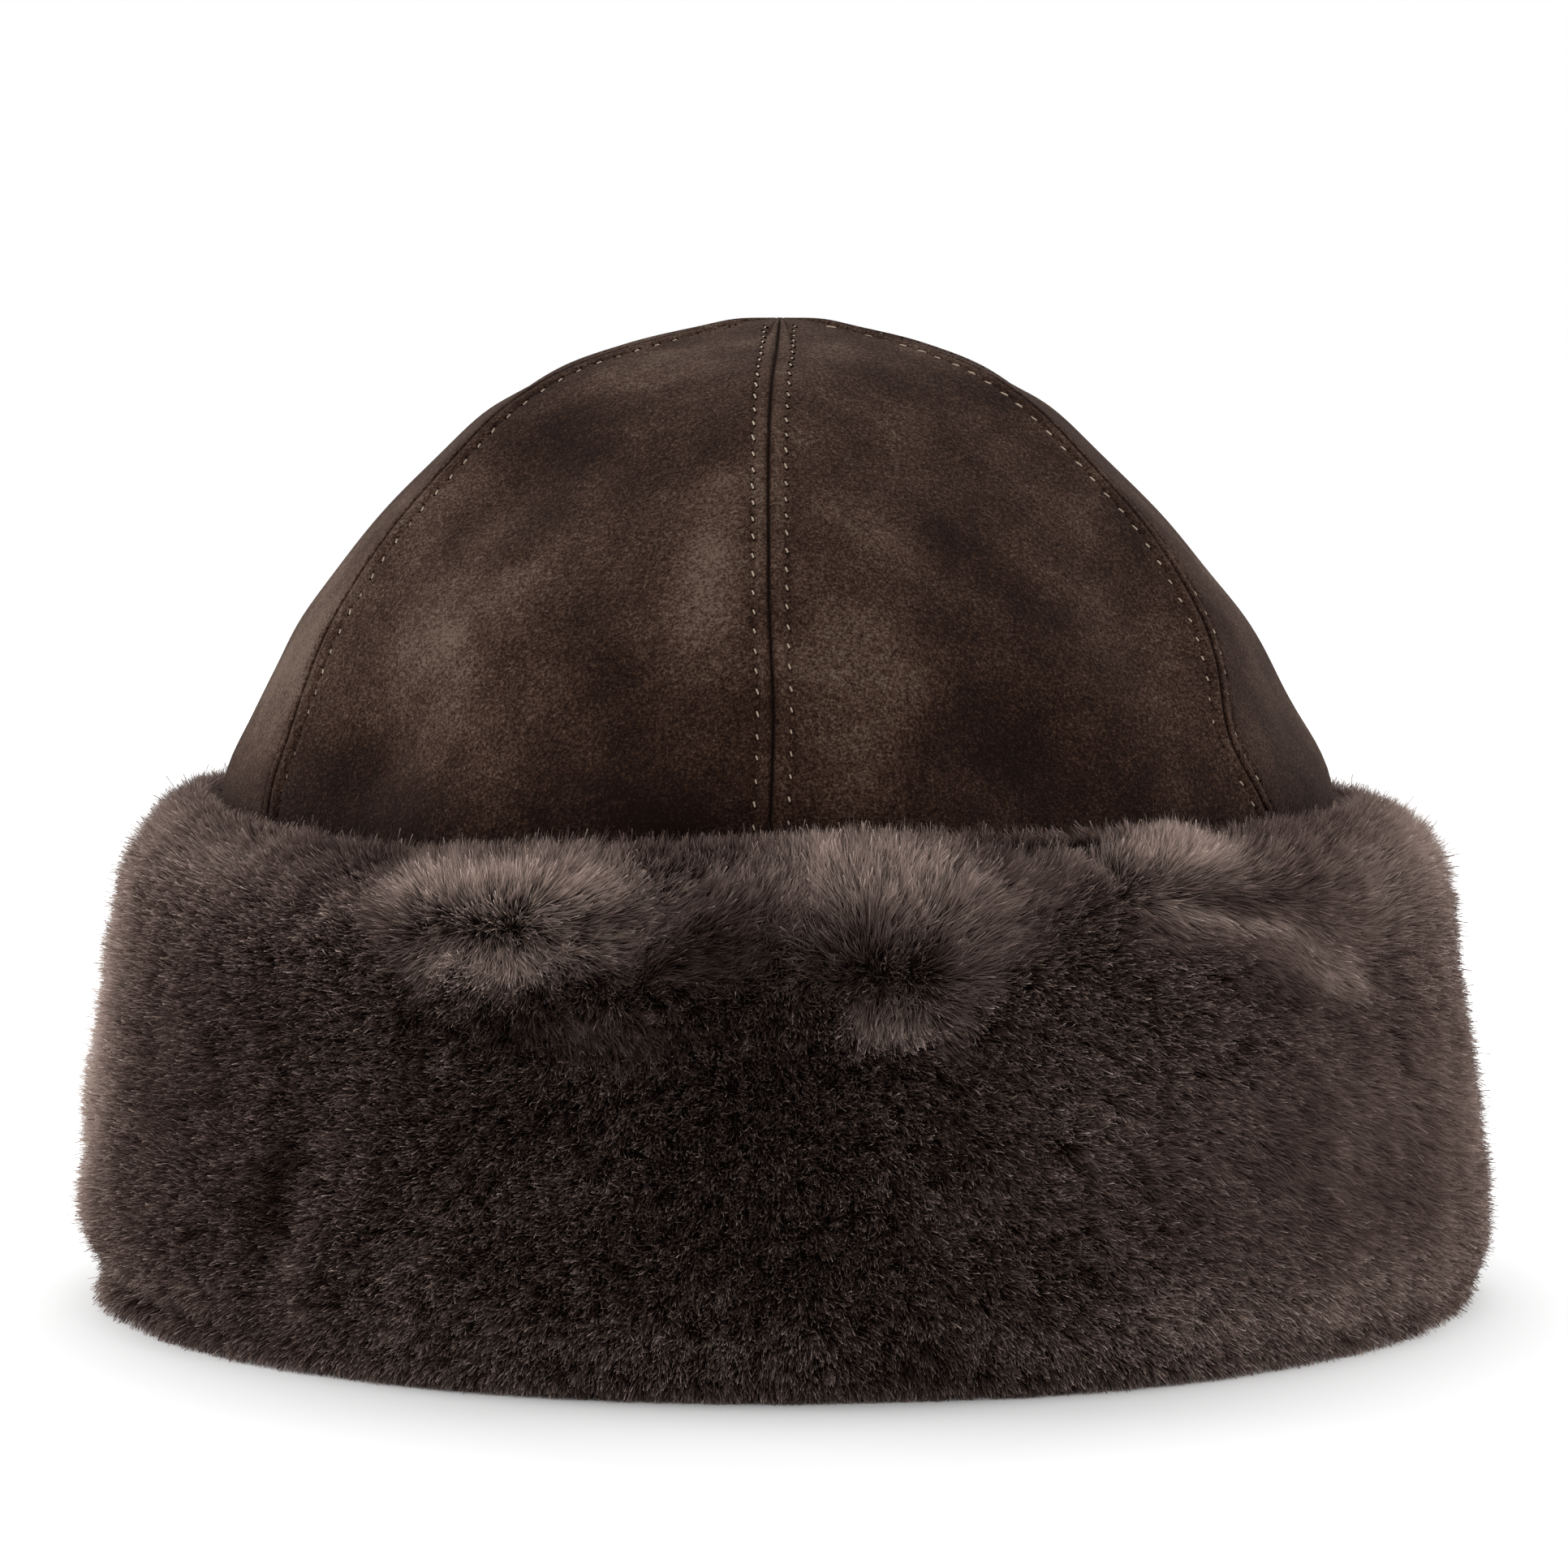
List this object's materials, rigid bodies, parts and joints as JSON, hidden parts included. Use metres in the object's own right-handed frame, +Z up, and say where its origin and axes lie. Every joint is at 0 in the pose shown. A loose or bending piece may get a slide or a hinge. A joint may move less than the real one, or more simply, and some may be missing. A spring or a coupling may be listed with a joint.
{
  "type": "shearling hat",
  "caption": "Hollow domed shearling hat: suede-faced gores sewn to a point at the top, with a deep turned-up fur cuff that it stands on.",
  "frame": {"origin": "the middle of the bottom of the hat's bounding box, where it stands", "axes": "+Z up through the crown, -Y out of the front seam, +X to the right as seen from the front"},
  "size_m": [0.2562, 0.264, 0.178],
  "materials": {
    "suede": "matte",
    "fur": "matte"
  },
  "bodies": {
    "root": {"crown_gore_front_right": "suede", "crown_gore_right": "suede", "crown_gore_back_right": "suede", "crown_gore_back_left": "suede", "crown_gore_left": "suede", "crown_gore_front_left": "suede", "cuff_right": "fur", "cuff_left": "fur"}
  },
  "joints": []
}
